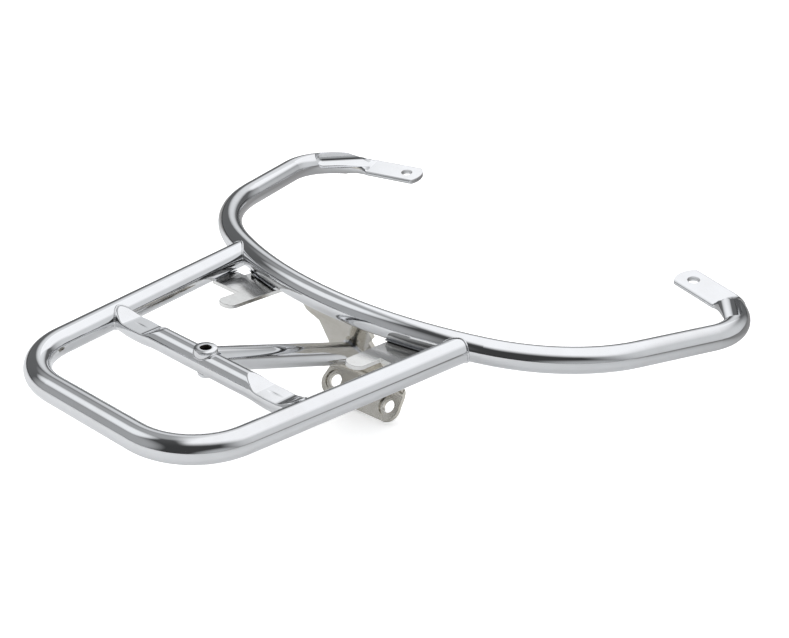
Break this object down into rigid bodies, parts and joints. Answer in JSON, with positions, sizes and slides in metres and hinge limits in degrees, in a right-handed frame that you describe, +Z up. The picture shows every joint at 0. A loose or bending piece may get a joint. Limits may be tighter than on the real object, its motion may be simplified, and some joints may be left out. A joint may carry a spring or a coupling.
{
  "type": "motorcycle luggage rack",
  "caption": "Chromed tube luggage rack: horseshoe grab bar with flattened bolt-on ends, U-shaped deck hoop, cross tube with a threaded boss, slanted stay, folded bracket and hook plates.",
  "frame": {"origin": "on the threaded boss's axis, at the centre plane of the deck hoop's tubes", "axes": "+X to the rider's right, +Y to the front of the motorcycle, +Z up along the boss's axis"},
  "size_m": [0.4554, 0.4972, 0.1136],
  "materials": {
    "tube_chrome": "mirror-bright chrome plate on drawn tube",
    "plate_chrome": "bright chrome plate on sheet steel with a fine grain",
    "boss_chrome": "bright chrome plate on a turned bush",
    "weld_chrome": "bright chrome plate over smooth weld beads"
  },
  "bodies": {
    "root": {"grab_bar": "tube_chrome", "deck_hoop": "tube_chrome", "cross_tube": "tube_chrome", "stay_tube": "tube_chrome", "centre_bracket": "plate_chrome", "hook_plate_left": "plate_chrome", "hook_plate_right": "plate_chrome", "threaded_boss": "boss_chrome", "weld_hoop_left": "weld_chrome", "weld_hoop_right": "weld_chrome", "weld_cross_left": "weld_chrome", "weld_cross_right": "weld_chrome", "weld_boss_top": "weld_chrome", "weld_boss_bottom": "weld_chrome", "weld_stay_rear": "weld_chrome", "weld_stay_front": "weld_chrome", "weld_bracket": "weld_chrome", "weld_hook_bar_left": "weld_chrome", "weld_hook_bar_right": "weld_chrome", "weld_hook_rail_left": "weld_chrome", "weld_hook_rail_right": "weld_chrome"}
  },
  "joints": []
}
